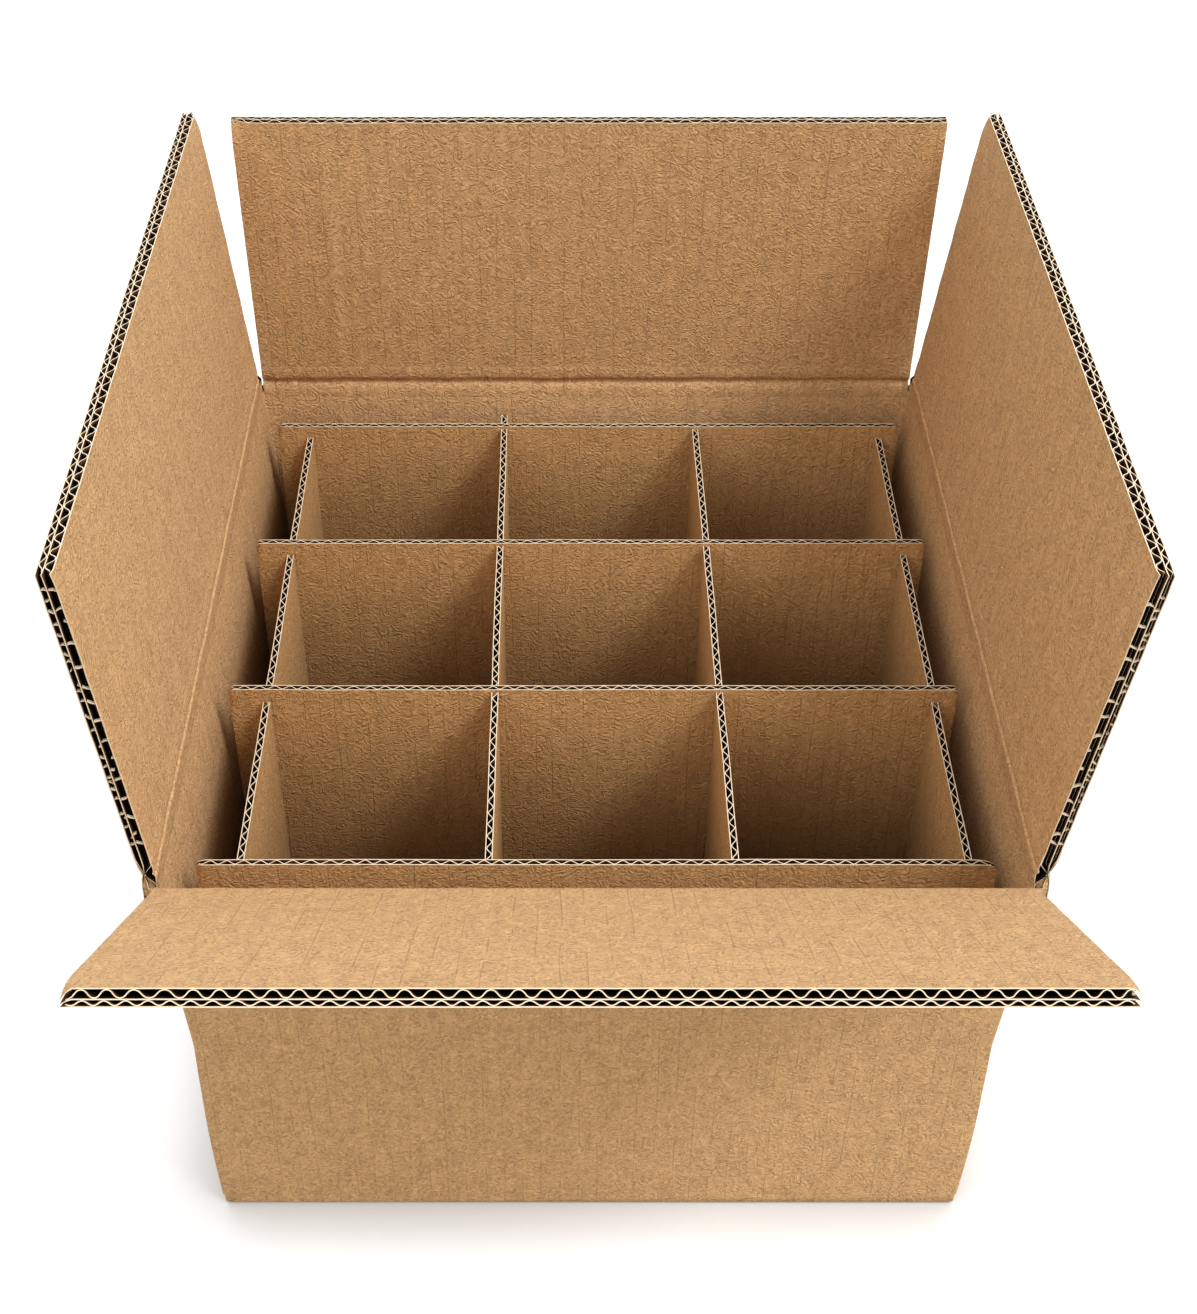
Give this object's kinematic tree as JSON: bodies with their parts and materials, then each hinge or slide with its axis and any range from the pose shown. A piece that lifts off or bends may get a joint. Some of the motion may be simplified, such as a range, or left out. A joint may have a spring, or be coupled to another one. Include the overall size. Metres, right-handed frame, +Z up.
{
  "type": "corrugated bottle shipping box",
  "caption": "Double-wall corrugated cardboard carton with four hinged top flaps and a slotted single-wall partition that keeps bottles apart.",
  "frame": {"origin": "middle of the underside of the closed bottom, on the surface that the box stands on", "axes": "+Z up out of the box's mouth, +X to the right and -Y towards the front, where the flap that lies furthest open is"},
  "size_m": [0.3735, 0.4751, 0.3653],
  "materials": {
    "kraft_board": "matte",
    "partition_board": "matte"
  },
  "bodies": {
    "carton": {"case": "kraft_board", "long_divider_1": "partition_board", "long_divider_2": "partition_board", "long_divider_3": "partition_board", "long_divider_4": "partition_board", "cross_divider_1": "partition_board", "cross_divider_2": "partition_board", "cross_divider_3": "partition_board", "cross_divider_4": "partition_board"},
    "front": {"front_flap": "kraft_board"},
    "back": {"back_flap": "kraft_board"},
    "left": {"left_flap": "kraft_board"},
    "right": {"right_flap": "kraft_board"}
  },
  "joints": [
    {"name": "front_fold", "type": "hinge", "parent": "carton", "child": "front", "pos_m": [0, -0.177, 0.214], "axis": [1, 0, 0], "range_deg": [-144.3, 95.7]},
    {"name": "back_fold", "type": "hinge", "parent": "carton", "child": "back", "pos_m": [0, 0.177, 0.214], "axis": [-1, 0, 0], "range_deg": [-87.4, 152.6]},
    {"name": "left_fold", "type": "hinge", "parent": "carton", "child": "left", "pos_m": [-0.1695, 0, 0.2206], "axis": [0, -1, 0], "range_deg": [-95.6, 144.4]},
    {"name": "right_fold", "type": "hinge", "parent": "carton", "child": "right", "pos_m": [0.1695, 0, 0.2206], "axis": [0, 1, 0], "range_deg": [-96.5, 143.5]}
  ]
}
